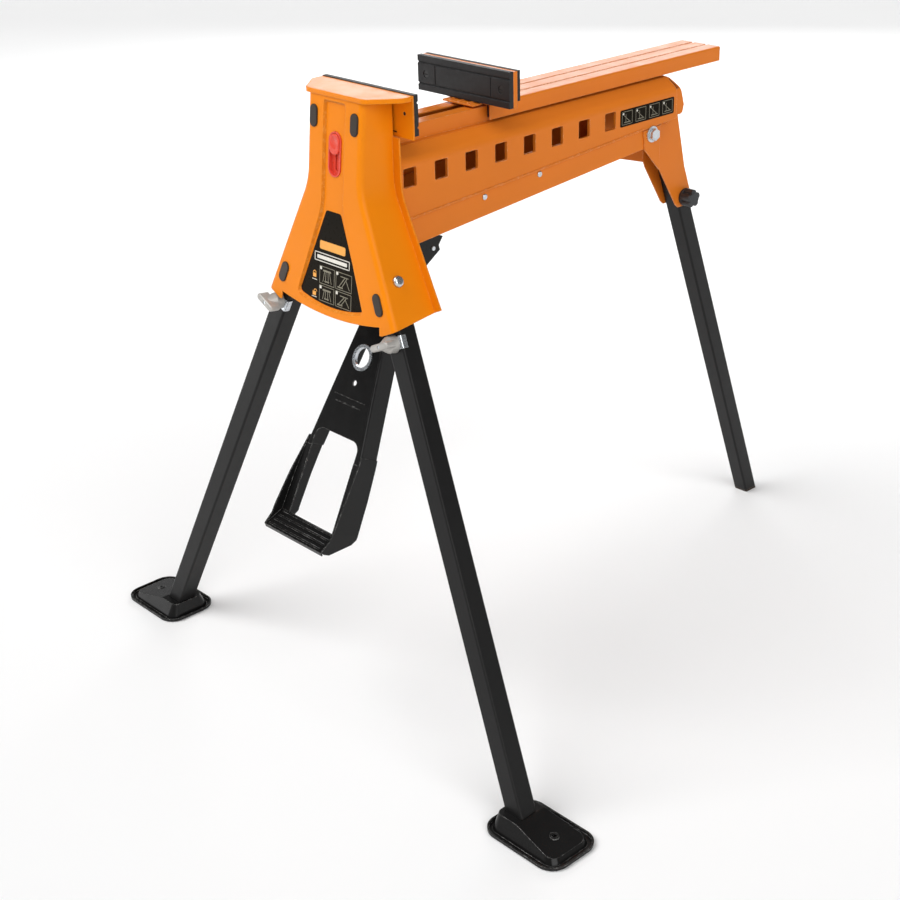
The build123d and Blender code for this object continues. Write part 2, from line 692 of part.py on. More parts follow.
def make_clutch():
    """Housing that hangs from the arm through the rail's slot, and the plates that grip the bar."""
    inside = clutch_side_half - 2.5
    roof_drop = rail_top_drop + beam_sheet + 2.5
    neck_half = rail_slot_half - 3.0
    neck = block(-neck_half, neck_half, clutch_y0, clutch_y1, up(roof_drop + 1), up(arm_under))
    roof = block(-clutch_side_half, clutch_side_half, clutch_y0, clutch_y1, up(roof_drop + 3),
                 up(roof_drop))
    walls = block(inside, clutch_side_half, clutch_y0, clutch_y1, up(clutch_low_drop), up(roof_drop))
    ends = block(-clutch_side_half, clutch_side_half, clutch_y0, clutch_y0 + 3,
                 up(clutch_low_drop), up(roof_drop))
    ends += block(-clutch_side_half, clutch_side_half, clutch_y1 - 3, clutch_y1,
                  up(clutch_low_drop), up(roof_drop))
    housing = neck + roof + walls + mirror(walls, about=Plane.YZ) + ends
    housing -= block(-bar_half - 0.5, bar_half + 0.5, clutch_y0 - 5, clutch_y1 + 5,
                     up(bar_top_drop + bar_thick + 0.5), up(bar_top_drop - 0.5))
    keep("clutch_housing", housing)
    gap = 0.8
    plates = []
    middle = (clutch_y0 + clutch_y1) / 2
    for shift in (-6.0, 0.0, 6.0):
        y = middle + shift
        plate = block(-inside + 0.5, inside - 0.5, y - 2, y + 2, up(clutch_low_drop - 2),
                      up(roof_drop + 4))
        plate -= block(-bar_half - gap, bar_half + gap, y - 5, y + 5,
                       up(bar_top_drop + bar_thick + gap), up(bar_top_drop - gap))
        plates.append(plate)
    keep("clutch_plates", plates)


# ---------------------------------------------------------------- pedal, lever and drive bar
stroke = radians(pedal_stroke)
drive_radius = pedal_pivot_drop - drive_drop
drive_swing = drive_radius * tan(stroke / 2)
drive_pin_y = pedal_pivot_y + drive_swing
pedal_slope = radians(pedal_lean)
pedal_plane = Plane(origin=(0, pedal_plane_y, up(pedal_plane_drop)), x_dir=(1, 0, 0),
                    z_dir=(0, -cos(pedal_slope), sin(pedal_slope)))
pedal_half_top = 28.8
pedal_widen = 0.155        # half width gained per mm down the plate
pedal_plate_from = -52.0   # the plate's top edge, above the plane's origin
pedal_flange = 31.0
pedal_plate_to = 177.0
pedal_lap = 12.0           # the stirrup's sides lap outside the plate's
window_from = 149.0
window_to = 276.6
window_half_top = 45.0
window_half_low = 46.8
stirrup_path = [(222.0, 62.6), (272.0, 64.8), (303.0, 62.5)]        # (down the pedal, half width)
stirrup_front = [(178.0, 1.0), (221.0, 8.0), (284.0, 16.0), (301.0, 24.0)]
tread_depth = 34.7
tread_fall = 18.6          # degrees below level, going forward
pedal_hub_d = 24.0
pedal_hub_half = 37.0
ring_hole_d = 28.0
ring_at = 39.0             # large hole's centre, down the plate
lever_half_gap = 6.0
lever_thick = 4.0


def pedal_half(s):
    return pedal_half_top + pedal_widen * s


def pedal_face(s0, s1, depth0, depth1, inset=0.0):
    """Slab of the tapering plate between two distances down it; depth is positive to the front."""
    pts = [(pedal_half(s0) - inset, -s0), (pedal_half(s1) - inset, -s1),
           (-pedal_half(s1) + inset, -s1), (-pedal_half(s0) + inset, -s0)]
    face = make_face(Polyline(*pts, close=True))
    return extrude(pedal_plane.offset(depth0) * face, depth1 - depth0)


def pedal_shell(s0, s1, depth, front=0.0):
    """Plate with its sides turned back: a shallow channel open to the rear."""
    outer = pedal_face(s0, s1, front - depth, front)
    edges = [e for e in outer.edges()
             if abs(pedal_plane.to_local_coords(e.center()).Z - front) < 0.05
             and abs(e.center().X) > 5]
    outer = fillet(edges, 4.0)
    return outer - pedal_face(s0 - 5, s1 + 5, front - depth - 5, front - sheet, sheet)


def make_pedal_plate():
    plate = pedal_shell(pedal_plate_from, pedal_plate_to, pedal_flange)
    # the flanges taper away towards the hub
    taper = Plane(origin=pedal_plane.origin, x_dir=pedal_plane.z_dir, z_dir=(1, 0, 0))
    outline = Polyline((-pedal_flange - 1, 30.0), (-pedal_flange - 1, 60.0), (-12.0, 60.0), close=True)
    turn = 1 if taper.y_dir.dot(pedal_plane.y_dir) > 0 else -1
    face = make_face(outline)
    if turn < 0:
        face = mirror(face, about=Plane.XZ)
    plate -= extrude(taper * face, 80, both=True)
    plate -= extrude(pedal_plane.offset(5) * Pos(0, -ring_at) * Circle(ring_hole_d / 2 + 2.0), -40)
    plate -= extrude(pedal_plane.offset(5) * Pos(0, -ring_at - 36) * Circle(3.8), -12)
    plate -= extrude(pedal_plane.offset(10) * window_outline(), -60)
    keep("pedal_plate", plate)
    eyelet = extrude(pedal_plane.offset(-sheet - 2.0) * Pos(0, -ring_at)
                     * Circle(ring_hole_d / 2 + 2.0), sheet + 2.0 + 1.5)
    eyelet += extrude(pedal_plane * Pos(0, -ring_at) * Circle(ring_hole_d / 2 + 4.5), 1.5)
    eyelet -= extrude(pedal_plane.offset(-10) * Pos(0, -ring_at) * Circle(ring_hole_d / 2), 20)
    keep("pedal_eyelet", eyelet)


def window_outline():
    low = window_to + 40.0
    pts = [(window_half_top, -window_from), (window_half_low, -low),
           (-window_half_low, -low), (-window_half_top, -window_from)]
    face = make_face(Polyline(*pts, close=True))
    top = face.vertices().sort_by(Axis.Y)[-2:]
    return fillet(top, 14.0)


def stirrup_half(s):
    """Outer half width of the stirrup's side, s down the pedal."""
    points = [(pedal_plate_to, pedal_half(pedal_plate_to) + sheet)] + stirrup_path
    if s <= pedal_plate_to:
        return pedal_half(s) + sheet
    for (s0, half0), (s1, half1) in zip(points, points[1:]):
        if s <= s1:
            return half0 + (half1 - half0) * (s - s0) / (s1 - s0)
    return stirrup_path[-1][1]


tread_ribs = 4


def make_stirrup():
    start = pedal_plate_to - pedal_lap
    end = stirrup_front[-1][0]
    stations = [start, pedal_plate_to] + [point[0] for point in stirrup_path]
    outer = [(stirrup_half(s), -s) for s in stations]
    inner = [(stirrup_half(s) - sheet, -s) for s in reversed(stations)]
    strip = make_face(Polyline(*(outer + inner), close=True))
    wall = extrude(pedal_plane.offset(-pedal_flange) * strip, pedal_flange + 30.0)
    side = Plane(origin=pedal_plane.origin, x_dir=pedal_plane.z_dir, z_dir=(1, 0, 0))
    down = -1 if side.y_dir.dot(pedal_plane.y_dir) > 0 else 1
    edge = [(depth, s) for s, depth in stirrup_front]
    profile = [(-pedal_flange, start), (-0.5, start)] + edge
    profile += [(12.0, end + 4.0), (-pedal_flange + 6.0, window_to + 8.0), (-pedal_flange, window_to)]
    profile = [(x, down * y) for x, y in profile]
    wall &= extrude(side * make_face(Polyline(*profile, close=True)), 100, both=True)
    # web between the window and the side; it reaches half way into the side
    bite = sheet / 2
    web_pts = [(window_half_top, -pedal_plate_to), (pedal_half(pedal_plate_to) + bite, -pedal_plate_to)]
    web_pts += [(stirrup_half(s) - bite, -s) for s in (stirrup_path[0][0], window_to + 1.0)]
    web_pts += [(window_half_low, -window_to - 1.0)]
    web = extrude(pedal_plane.offset(-sheet) * make_face(Polyline(*web_pts, close=True)), sheet)
    edge_at = pedal_plane.from_local_coords(Vector(0, -window_to, 0))
    fall = radians(tread_fall)
    tread_plane = Plane(origin=edge_at, x_dir=(1, 0, 0), z_dir=(0, -sin(fall), cos(fall)))
    rear_half = stirrup_half(window_to) - bite
    front_half = stirrup_half(end) - bite
    tread_pts = [(rear_half, 0), (front_half, -tread_depth), (-front_half, -tread_depth), (-rear_half, 0)]
    step = extrude(tread_plane * make_face(Polyline(*tread_pts, close=True)), -sheet)
    lip = tread_plane * Pos(0, -tread_depth + sheet / 2, -3.0) * Box(2 * front_half, sheet, 6.0)
    stirrup = step + lip + wall + web + mirror(wall, about=Plane.YZ) + mirror(web, about=Plane.YZ)
    keep("pedal_stirrup", stirrup)
    ribs = []
    pitch = (tread_depth - 8.0) / (tread_ribs - 1)
    for n in range(tread_ribs):
        y = -4.0 - n * pitch
        ribs.append(tread_plane * Pos(0, y, 0.9) * Box(2 * front_half - 14.0, 3.0, 1.8))
    keep("pedal_tread_ribs", ribs)


def lever_outline():
    """Side view of the lever: hub, fork above it, tail behind it, root on the plate."""
    swing = atan2(drive_swing, drive_radius)
    tip = (drive_radius + 10.0) / cos(swing)
    fork_y = pedal_pivot_y + tip * sin(swing)
    fork_drop = pedal_pivot_drop - tip * cos(swing)
    half = 12.0
    dy, dz = half * cos(swing), half * sin(swing)
    return [(fork_y - dy, fork_drop - dz), (fork_y + dy, fork_drop + dz),
            (pedal_pivot_y + 30.0, 210.0), (84.0, 214.0), (107.0, 225.0), (99.0, 236.0),
            (101.0, 243.0), (75.0, 260.0), (26.0, 272.0),
            (18.0, 300.0), (-4.0, 320.0), (-24.0, 318.0), (-26.0, 270.0),
            (pedal_pivot_y - 16.0, 252.0)]


def make_lever():
    plate = side_plate(lever_outline(), lever_half_gap, lever_half_gap + lever_thick)
    y, z = pedal_pivot_y, up(pedal_pivot_drop)
    plate -= rod((-50, y, z), (50, y, z), pedal_hub_d)
    swing = atan2(drive_swing, drive_radius)
    slot_half = drive_pin_d / 2 + drive_slot_gap
    slot = Pos(0, y, z) * Rot(-degrees(swing), 0, 0)
    plate -= slot * Pos(0, 0, drive_radius + 16.0) * Box(60, 2 * slot_half, 44.0)
    plate -= pedal_face(pedal_plate_from, 200, -sheet, 120.0, -80.0)
    plate -= rod((-50, tail_pin_y, up(tail_pin_drop)), (50, tail_pin_y, up(tail_pin_drop)), 6.0)
    keep("pedal_lever", both_sides(plate))
    hub = rod((-pedal_hub_half, y, z), (pedal_hub_half, y, z), pedal_hub_d)
    hub -= rod((-60, y, z), (60, y, z), pedal_shaft_d + 2 * fit)
    keep("pedal_hub", hub)
    cheek_x = pedal_half(pedal_plate_from) - sheet
    cheek = side_plate([(y - 14, 242), (y + 14, 240), (18, 275), (14, 300), (-4, 318), (-28, 318),
                        (-30, 270)], cheek_x - 4.0, cheek_x)
    cheek -= rod((-60, y, z), (60, y, z), pedal_hub_d)
    cheek -= pedal_face(pedal_plate_from, 200, -sheet, 120.0, -80.0)
    keep("pedal_cheeks", both_sides(cheek))
    pin_half = lever_half_gap + lever_thick + 2.0
    tail = rod((-pin_half, tail_pin_y, up(tail_pin_drop)), (pin_half, tail_pin_y, up(tail_pin_drop)), 6.0)
    keep("lever_tail_pin", tail)


tail_pin_y = 88.0
tail_pin_drop = 238.0
spring_wire = 2.4
spring_turns = 4
spring_gap = 2.0             # between the cheeks and the springs


def make_return_springs():
    """Two torsion springs around the pedal's hub; one leg of each lies on the shaft bracket."""
    coil_radius = pedal_hub_d / 2 + 0.5 + spring_wire / 2
    pitch = spring_wire + 0.3
    springs = []
    for sign in (1, -1):
        inner = pedal_half(pedal_plate_from) - sheet + spring_gap
        start = Plane(origin=(sign * inner, pedal_pivot_y, up(pedal_pivot_drop)),
                      x_dir=(0, -1, 0), z_dir=(sign, 0, 0))
        path = Helix(pitch=pitch, height=pitch * spring_turns, radius=coil_radius)
        begin = Plane(origin=path @ 0, z_dir=path % 0)
        coil = sweep(begin * Circle(spring_wire / 2), path=path)
        springs.append(start * coil)
    keep("return_springs", springs)


def make_drive_bar():
    lug_y0, lug_y1 = drive_pin_y - 7.0, drive_pin_y + 7.0
    bar = block(-bar_half, bar_half, lug_y0, bar_back_y, up(bar_top_drop + bar_thick), up(bar_top_drop))
    lug = block(-4.0, 4.0, lug_y0, lug_y1, up(drive_drop + 8.0), up(bar_top_drop + bar_thick))
    keep("drive_bar", bar + lug - rod((-20, drive_pin_y, up(drive_drop)),
                                      (20, drive_pin_y, up(drive_drop)), drive_pin_d))
    keep("drive_pin", rod((-14, drive_pin_y, up(drive_drop)), (14, drive_pin_y, up(drive_drop)),
                          drive_pin_d))


def make_bar_guide():
    """Plastic block across the rear of the beam that carries the bar's end."""
    y0 = clutch_end_y + 2.0
    y1 = y0 + 6.0
    inner = pan_half - beam_sheet
    foot_drop = bar_top_drop + bar_thick
    guide = block(-inner, inner, y0, y1, up(foot_drop + 14), up(foot_drop + 4))
    head_half = rail_half - beam_sheet - 0.5
    guide += block(-head_half, head_half, y0, y1, up(foot_drop + 5), up(bar_top_drop - 8))
    guide -= block(-bar_half - glide_clear, bar_half + glide_clear, y0 - 1, y1 + 1,
                   up(foot_drop + glide_clear), up(bar_top_drop - glide_clear))
    keep("bar_guide", guide)


# bracket that carries the pedal shaft behind the head's face
bracket_half = 43.0
bracket_sheet = 3.0
bracket_screws = [(-30.0, 234.0), (30.0, 234.0), (-30.0, 260.0), (30.0, 260.0)]


def make_pedal_bracket():
    """U-shaped bracket on the back of the middle panel; its ears carry the pedal's shaft."""
    back = panel_depth + sheet
    y, z = pedal_pivot_y, up(pedal_pivot_drop)
    web = extrude(face_plane.offset(-back) * Pos(0, -247.0) * Rectangle(2 * bracket_half, 44.0),
                  -bracket_sheet)
    ear = side_plate([(y + 14, 238), (y + 14, 262), (y - 30, 269), (-110, 269), (-110, 225), (y - 30, 225)],
                     bracket_half - bracket_sheet, bracket_half)
    ear -= extrude(face_plane.offset(-back) * Rectangle(400, 1200), 60)
    bracket = web + ear + mirror(ear, about=Plane.YZ)
    bracket -= rod((-60, y, z), (60, y, z), pedal_shaft_d)
    for x, drop in bracket_screws:
        bracket -= extrude(face_plane.offset(5) * Pos(x, -drop) * Circle(3.1), -30)
    keep("pedal_bracket", bracket)
    end = bracket_half + 5.0
    shaft = rod((-end, y, z), (end, y, z), pedal_shaft_d)
    for sign in (1, -1):
        shaft += rod((sign * bracket_half, y, z), (sign * (bracket_half + 2.5), y, z), pedal_shaft_d + 6)
    keep("pedal_shaft", shaft)
    screws = []
    for x, drop in bracket_screws:
        top = face_plane.from_local_coords(Vector(x, -drop, -panel_depth))
        nut = face_plane.from_local_coords(Vector(x, -drop, -back - bracket_sheet))
        end = nut - face_out * 6.0
        screw = rod(tuple(top), tuple(end), 6.0) + hexagon(tuple(nut), tuple(nut - face_out * 4.5), 9.0)
        screws.append(screw)
    keep("bracket_screws", screws)


# ---------------------------------------------------------------- front legs
ankle = 24.0                 # the tube ends this far above the floor, on the foot's dome
leg_reach = (leg_pivot.Z - ankle) / -leg_down.Z
clamp_at = 75.0              # clamp's centre, down the leg from the pivot
clamp_height = 17.0
clamp_sheet = 1.2
clamp_wrap = 8.0             # how far its sides reach round the leg
wing_hub_d = 24.0
wing_span = 35.0
wing_thick = 9.5
wing_rest = 25.0             # degrees that the tightened bar stands above level


def make_front_leg():
    length = leg_reach + 40
    tube = leg_plane * Pos(0, 0, -leg_stub) * square_tube(leg_tube, tube_wall, length + leg_stub)
    tube -= block(-600, 600, -600, 600, -400, ankle)
    c = leg_pivot
    tube -= rod(tuple(c - leg_out * 40), tuple(c + leg_out * 40), leg_bolt_d + 2 * fit)
    hole = leg_plane * Pos(0, 0, clamp_at)
    front = Plane(hole.position, z_dir=face_out)
    tube -= extrude(front * Circle(4.3), 40)
    return tube


def make_clamp():
    """U-shaped clamp plate on the leg's front face."""
    inner = leg_tube + 0.04
    outer = inner + 2 * clamp_sheet
    reach = leg_tube / 2
    depth = clamp_wrap + clamp_sheet
    body = leg_plane * Pos(0, reach - clamp_wrap + depth / 2, clamp_at) * Box(outer, depth, clamp_height)
    bends = [e for e in body.edges()
             if abs(leg_plane.to_local_coords(e.center()).Z - clamp_at) < 0.1
             and leg_plane.to_local_coords(e.center()).Y > reach]
    body = fillet(bends, 2 * clamp_sheet)
    body -= leg_plane * Pos(0, reach - 30.0, clamp_at) * Box(inner, 60.0, clamp_height + 5)
    centre = leg_plane.from_local_coords(Vector(0, 0, clamp_at))
    body -= extrude(Plane(centre, z_dir=face_out) * Circle(4.3), 40)
    return body


def make_wing_screw():
    """Wing screw square to the leg's front face, with its weld nut's thread inside the tube."""
    centre = leg_plane.from_local_coords(Vector(0, 0, clamp_at))
    front = Plane(centre, x_dir=(1, 0, 0), z_dir=face_out)
    seat = leg_tube / 2 + clamp_sheet
    stud = extrude(front.offset(-2.0) * Circle(4.0), seat + 2.0)
    base = wing_hub_d / 2
    bell = loft([front.offset(seat) * Circle(base), front.offset(seat + 10.0) * Circle(base - 1.2)])
    bell += loft([front.offset(seat + 10.0) * Circle(base - 1.2), front.offset(seat + 20.0) * Circle(5.5)])
    bar = Rot(0, 0, wing_rest) * SlotOverall(wing_span, wing_thick)
    wing = extrude(front.offset(seat + 11.5) * bar, 15.0)
    rim = [e for e in wing.edges() if abs(front.to_local_coords(e.center()).Z - seat - 26.5) < 0.05]
    wing = fillet(rim, 2.6)
    dimple = extrude(front.offset(seat + 25.0) * Circle(2.4), 3.0)
    return stud + bell + wing - dimple


def make_foot():
    """Pressed pad with a turned-up rim; the leg stands on a hollow dome that slopes outboard."""
    leg_x = leg_pivot.X + leg_down.X * leg_reach
    y = leg_pivot.Y + leg_down.Y * leg_reach
    x = leg_x + foot_outboard
    corner = 26.0
    wall = 2.0
    base = Pos(x, y, 0) * extrude(RectangleRounded(foot_length, foot_width, corner), foot_rim)
    base = chamfer(base.edges().group_by(Axis.Z)[0], wall)
    inside = RectangleRounded(foot_length - 2.2 * wall, foot_width - 2.2 * wall, corner - wall)
    base -= Pos(x, y, wall) * extrude(inside, 20)

    x0, x1 = leg_x - 24.0, x + foot_length / 2 - 9.0
    flat_end = leg_x + 18.0                              # level where the tube stands, then sloping
    out_end = x1 + 2.0

    def dome(inset, bottom):
        length, width = x1 - x0 - 2 * inset, foot_width - 18.0 - 2 * inset
        low = Pos((x0 + x1) / 2, y, bottom) * RectangleRounded(length, width, 16.0 - inset)
        top = ankle - inset
        high = Pos((x0 + x1) / 2 - 4.0, y, top) * RectangleRounded(length - 18.0, width - 22.0, 9.0 - inset)
        under = Polyline((x0 - 30, -5), (x0 - 30, top), (flat_end, top),
                         (out_end, foot_slope_low - inset), (out_end, -5), close=True)
        wedge = Plane(origin=(0, y + 100, 0), x_dir=(1, 0, 0), z_dir=(0, -1, 0)) * make_face(under)
        return loft([low, high]) & extrude(wedge, 200)

    foot = base + dome(0.0, wall)
    foot -= dome(wall, 0.0)
    # screw hole with a raised lip, square to the slope
    fall = atan2(ankle - foot_slope_low, out_end - flat_end)
    hole_x = leg_x + 60.0
    spot = (hole_x, y, ankle - (hole_x - flat_end) * tan(fall))
    plane = Plane(origin=spot, x_dir=(cos(fall), 0, -sin(fall)), z_dir=(sin(fall), 0, cos(fall)))
    foot += extrude(plane.offset(-1.0) * Circle(6.2), 1.9)
    return foot - extrude(plane.offset(-6.0) * Circle(3.4), 12)


def make_leg_bolt():
    """Pivot bolt through the head's flared side and the leg, with its washer and nut."""
    def at(d):
        return tuple(leg_pivot + leg_out * d)
    outside = leg_tube / 2 + side_gap + sheet
    inside = -leg_tube / 2
    bolt = rod(at(inside - 12.0), at(outside), leg_bolt_d)
    bolt += dome_head(at(outside), tuple(leg_out), 16.0, 6.0)
    bolt += hexagon(at(inside - 10.5), at(inside - 2.0), 17.0)
    washer = rod(at(inside - 2.0), at(inside - 0.02), 22.0) - rod(at(inside - 5), at(5), leg_bolt_d)
    spacer = rod(at(leg_tube / 2 + 0.02), at(leg_tube / 2 + side_gap), 24.0)
    spacer -= rod(at(0), at(30), leg_bolt_d)
    return bolt, washer, spacer


def make_front_legs():
    shapes = {"leg_tube": make_front_leg(), "leg_clamp": make_clamp(),
              "wing_screw": make_wing_screw(), "foot_pad": make_foot()}
    for name, shape in shapes.items():
        keep(f"{name}_right", shape)
        keep(f"{name}_left", mirror(shape, about=Plane.YZ))
    bolt, washer, spacer = make_leg_bolt()
    keep("leg_bolts", both_sides(bolt))
    keep("leg_washers", both_sides(washer), both_sides(spacer))


# ---------------------------------------------------------------- rear leg and bracket
tilt = radians(rear_lean)
rear_down = Vector(0, sin(tilt), -cos(tilt))
rear_pivot = Vector(0, rear_pivot_y, up(rear_pivot_drop))
rear_plane = Plane(origin=rear_pivot, x_dir=(1, 0, 0), z_dir=rear_down)
ear_inner = rear_tube / 2 + slip
ear_outer = ear_inner + sheet
rear_knob_drop = 281.0       # where the knob's axis crosses the leg's axis, below the jaw top
rear_web_gap = 0.6
rear_cap = 4.0
knob_stud_d = 8.0
knob_d = 29.0
knob_height = 18.0
knob_lobes = 5
knob_lobe_r = 5.6


def rear_axis_y(drop):
    return rear_pivot_y + (drop - rear_pivot_drop) * tan(tilt)


def make_rear_bracket():
    low = 296.0
    web_off = (rear_tube / 2 + rear_web_gap) / cos(tilt)
    web_thick = sheet / cos(tilt)
    top = 137.5
    top_y = 593.0
    elbow = 232.0
    web_low = rear_axis_y(low) + web_off
    web_elbow = rear_axis_y(elbow) + web_off
    ear = side_plate([(552, top), (top_y, top), (web_elbow + web_thick, elbow),
                      (web_low + web_thick, low), (604, low), (598, 291), (558, 228), (552, 215)],
                     ear_inner, ear_outer)
    web = side_plate([(top_y - web_thick, top), (top_y, top), (web_elbow + web_thick, elbow),
                      (web_low + web_thick, low), (web_low, low), (web_elbow, elbow)],
                     -ear_outer, ear_outer)
    attach = side_plate([(467, 142), (505, 139.5), (505, 207), (471, 170)], pan_half,
                        pan_half + sheet)
    # converging wall between the plate on the pan and the ear
    x0, y0 = pan_half + sheet, 505.0
    x1, y1 = ear_outer, 552.0 + sheet
    run = make_face(Polyline((x0, y0), (x1, y1), (x1 - sheet, y1), (x0 - sheet, y0), close=True))
    wall = extrude(Plane(origin=(0, 0, up(300))) * run, 300 - 138.5)
    wall -= side_plate([(400, 400), (400, 148), (503, 206.5), (556, 219), (700, 340), (700, 400)],
                       -90, 90)
    half = ear + attach + wall
    bracket = half + mirror(half, about=Plane.YZ) + web
    bracket -= rod((-80, rear_bolt_y, up(rear_bolt_drop)), (80, rear_bolt_y, up(rear_bolt_drop)), rear_bolt_hole)
    bracket -= rod((-80, rear_pivot_y, up(rear_pivot_drop)), (80, rear_pivot_y, up(rear_pivot_drop)),
                   rear_pin_d)
    knob_y, knob_z = rear_axis_y(rear_knob_drop), up(rear_knob_drop)
    bracket -= rod((0, knob_y, knob_z), (80, knob_y, knob_z), knob_stud_d + 0.4)
    keep("rear_bracket", bracket)


def make_rear_hardware():
    bolts = []
    washers = []
    z = up(rear_bolt_drop)
    for sign in (1, -1):
        face = sign * (pan_half + sheet)
        washer = rod((face, rear_bolt_y, z), (face + sign * 2.0, rear_bolt_y, z), 24.0)
        washer -= rod((face - sign * 5, rear_bolt_y, z), (face + sign * 5, rear_bolt_y, z), rear_bolt_d)
        washers.append(washer)
        inner = sign * (pan_half - beam_sheet - 9.0)
        bolt = rod((inner, rear_bolt_y, z), (face + sign * 2.0, rear_bolt_y, z), rear_bolt_d)
        bolt += hexagon((face + sign * 2.0, rear_bolt_y, z), (face + sign * 8.4, rear_bolt_y, z), 16.0)
        bolt += hexagon((inner + sign * 1.5, rear_bolt_y, z),
                        (sign * (pan_half - beam_sheet), rear_bolt_y, z), 16.0)
        bolts.append(bolt)
    keep("rear_bracket_bolts", bolts)
    keep("rear_bracket_washers", washers)
    z = up(rear_pivot_drop)
    pin = rod((-ear_outer - 2, rear_pivot_y, z), (ear_outer + 2, rear_pivot_y, z), rear_pin_d)
    for sign in (1, -1):
        pin += rod((sign * ear_outer, rear_pivot_y, z), (sign * (ear_outer + 3), rear_pivot_y, z), 16.0)
    keep("rear_pivot_pin", pin)


def make_rear_leg():
    length = (rear_pivot.Z + 60) / cos(tilt)
    tube = rear_plane * Pos(0, 0, -rear_stub) * square_tube(rear_tube, tube_wall, length + rear_stub)
    tube -= block(-100, 100, -200, 1200, -200, rear_cap)
    tube -= rod((-40, rear_pivot_y, rear_pivot.Z), (40, rear_pivot_y, rear_pivot.Z),
                rear_pin_d + 2 * fit)
    keep("rear_leg_tube", tube)
    cap = rear_plane * Pos(0, 0, -rear_stub) * extrude(RectangleRounded(rear_tube, rear_tube, 3.0),
                                                        length + rear_stub)
    cap &= block(-100, 100, -200, 1200, 0, rear_cap)
    plug_size = rear_tube - 2 * tube_wall - 0.4
    plug = rear_plane * extrude(RectangleRounded(plug_size, plug_size, 1.0), length)
    plug &= block(-100, 100, -200, 1200, rear_cap - 1, rear_cap + 16)
    keep("rear_leg_cap", cap + plug)


def make_rear_knob():
    """Lobed plastic knob on the bracket's right ear; its stud presses on the side of the leg."""
    spot = (0, rear_axis_y(rear_knob_drop), up(rear_knob_drop))
    plane = Plane(origin=spot, x_dir=(0, 1, 0), z_dir=(1, 0, 0))
    stud_end = rear_tube / 2 + 0.3
    seat = ear_outer + 0.3
    knob = extrude(plane.offset(stud_end) * Circle(knob_stud_d / 2), seat - stud_end + 1.0)
    knob += extrude(plane.offset(seat) * Circle(knob_d / 2 - 1.5), 4.0)
    knob += extrude(plane.offset(seat + 3.5) * Circle(knob_d / 2 - 4.2), knob_height)
    for n in range(knob_lobes):
        place = Rot(0, 0, n * 360 / knob_lobes + 18) * Pos(knob_d / 2 - knob_lobe_r, 0)
        lobe = extrude(plane.offset(seat + 3.0) * place * Circle(knob_lobe_r), knob_height)
        knob += chamfer(lobe.edges().group_by(Axis.X)[-1], 1.2)
    keep("rear_knob", knob)


# ---------------------------------------------------------------- build and write
keep("head_shell", make_head_shell())
make_switch()
make_plugs()
make_fixed_jaw()
make_fixed_pad()
keep("beam_shell", make_beam_shell())
keep("beam_pan", make_beam_pan())
make_pan_pins()
keep("beam_end_cap", make_end_cap())
make_arm()
make_glides()
make_moving_jaw()
make_clutch()
make_pedal_plate()
make_stirrup()
make_lever()
make_return_springs()
make_drive_bar()
make_bar_guide()
make_pedal_bracket()
make_front_legs()
make_rear_bracket()
make_rear_hardware()
make_rear_leg()
make_rear_knob()

boxes = [solid.bounding_box() for solids in pieces.values() for solid in solids]
footprint_middle = (min(b.min.Y for b in boxes) + max(b.max.Y for b in boxes)) / 2

os.makedirs("parts", exist_ok=True)
for name, solids in pieces.items():
    moved = [Pos(0, -footprint_middle, 0) * solid for solid in solids]
    shape = moved[0] if len(moved) == 1 else Compound(moved)
    export_step(shape, f"parts/{name}.step")
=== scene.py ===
import json
from math import cos, pi, radians, sin, tan

import bmesh
import bpy
from mathutils import Matrix, Vector


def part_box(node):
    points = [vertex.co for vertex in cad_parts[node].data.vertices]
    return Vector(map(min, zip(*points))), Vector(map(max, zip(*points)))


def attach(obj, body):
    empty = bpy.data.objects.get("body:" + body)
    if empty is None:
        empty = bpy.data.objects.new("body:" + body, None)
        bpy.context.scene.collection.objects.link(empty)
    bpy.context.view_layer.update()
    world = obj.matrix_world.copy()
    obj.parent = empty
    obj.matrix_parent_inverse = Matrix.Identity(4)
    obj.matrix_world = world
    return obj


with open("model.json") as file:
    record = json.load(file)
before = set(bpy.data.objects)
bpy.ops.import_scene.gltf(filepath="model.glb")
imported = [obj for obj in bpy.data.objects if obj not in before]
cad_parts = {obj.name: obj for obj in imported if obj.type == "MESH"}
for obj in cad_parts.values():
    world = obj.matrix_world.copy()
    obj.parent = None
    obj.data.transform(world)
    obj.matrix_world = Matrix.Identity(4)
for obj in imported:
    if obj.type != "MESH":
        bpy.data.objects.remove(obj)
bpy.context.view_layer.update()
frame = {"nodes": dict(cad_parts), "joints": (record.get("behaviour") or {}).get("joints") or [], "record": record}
nodes = frame["nodes"]
mm = 0.001

# ---------------------------------------------------------------- references from the frame
pad_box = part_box("fixed_jaw_pad")
clamp_y = pad_box[1].y            # clamping face of the fixed jaw
jaw_top = pad_box[1].z            # top of the jaws
lean = radians(6.2)               # the head's face leans forward going down
face_ahead = 59.2                 # the face, at the jaws' top, is this far ahead of clamp_y, mm
panel_depth = 3.5                 # the middle panel is pressed in this deep, mm
face_origin = Vector((0, clamp_y - face_ahead * mm, jaw_top))
face_right = Vector((1, 0, 0))
face_up = Vector((0, sin(lean), cos(lean)))
face_out = Vector((0, -cos(lean), sin(lean)))


# ---------------------------------------------------------------- materials
noise_low, noise_high = 0.3, 0.7      # most of a noise lies between these
edge_starts, edge_full = 0.985, 0.86  # agreement of the bevelled and the flat normal at an edge
# noise that breaks up the lighter edges, which are partly wear and partly painted highlight
breakup_scale, breakup_low, breakup_high, breakup_least = 160.0, 0.48, 0.62, 0.12
streak_low, streak_high, streak_tone = 0.55, 0.75, 1.9


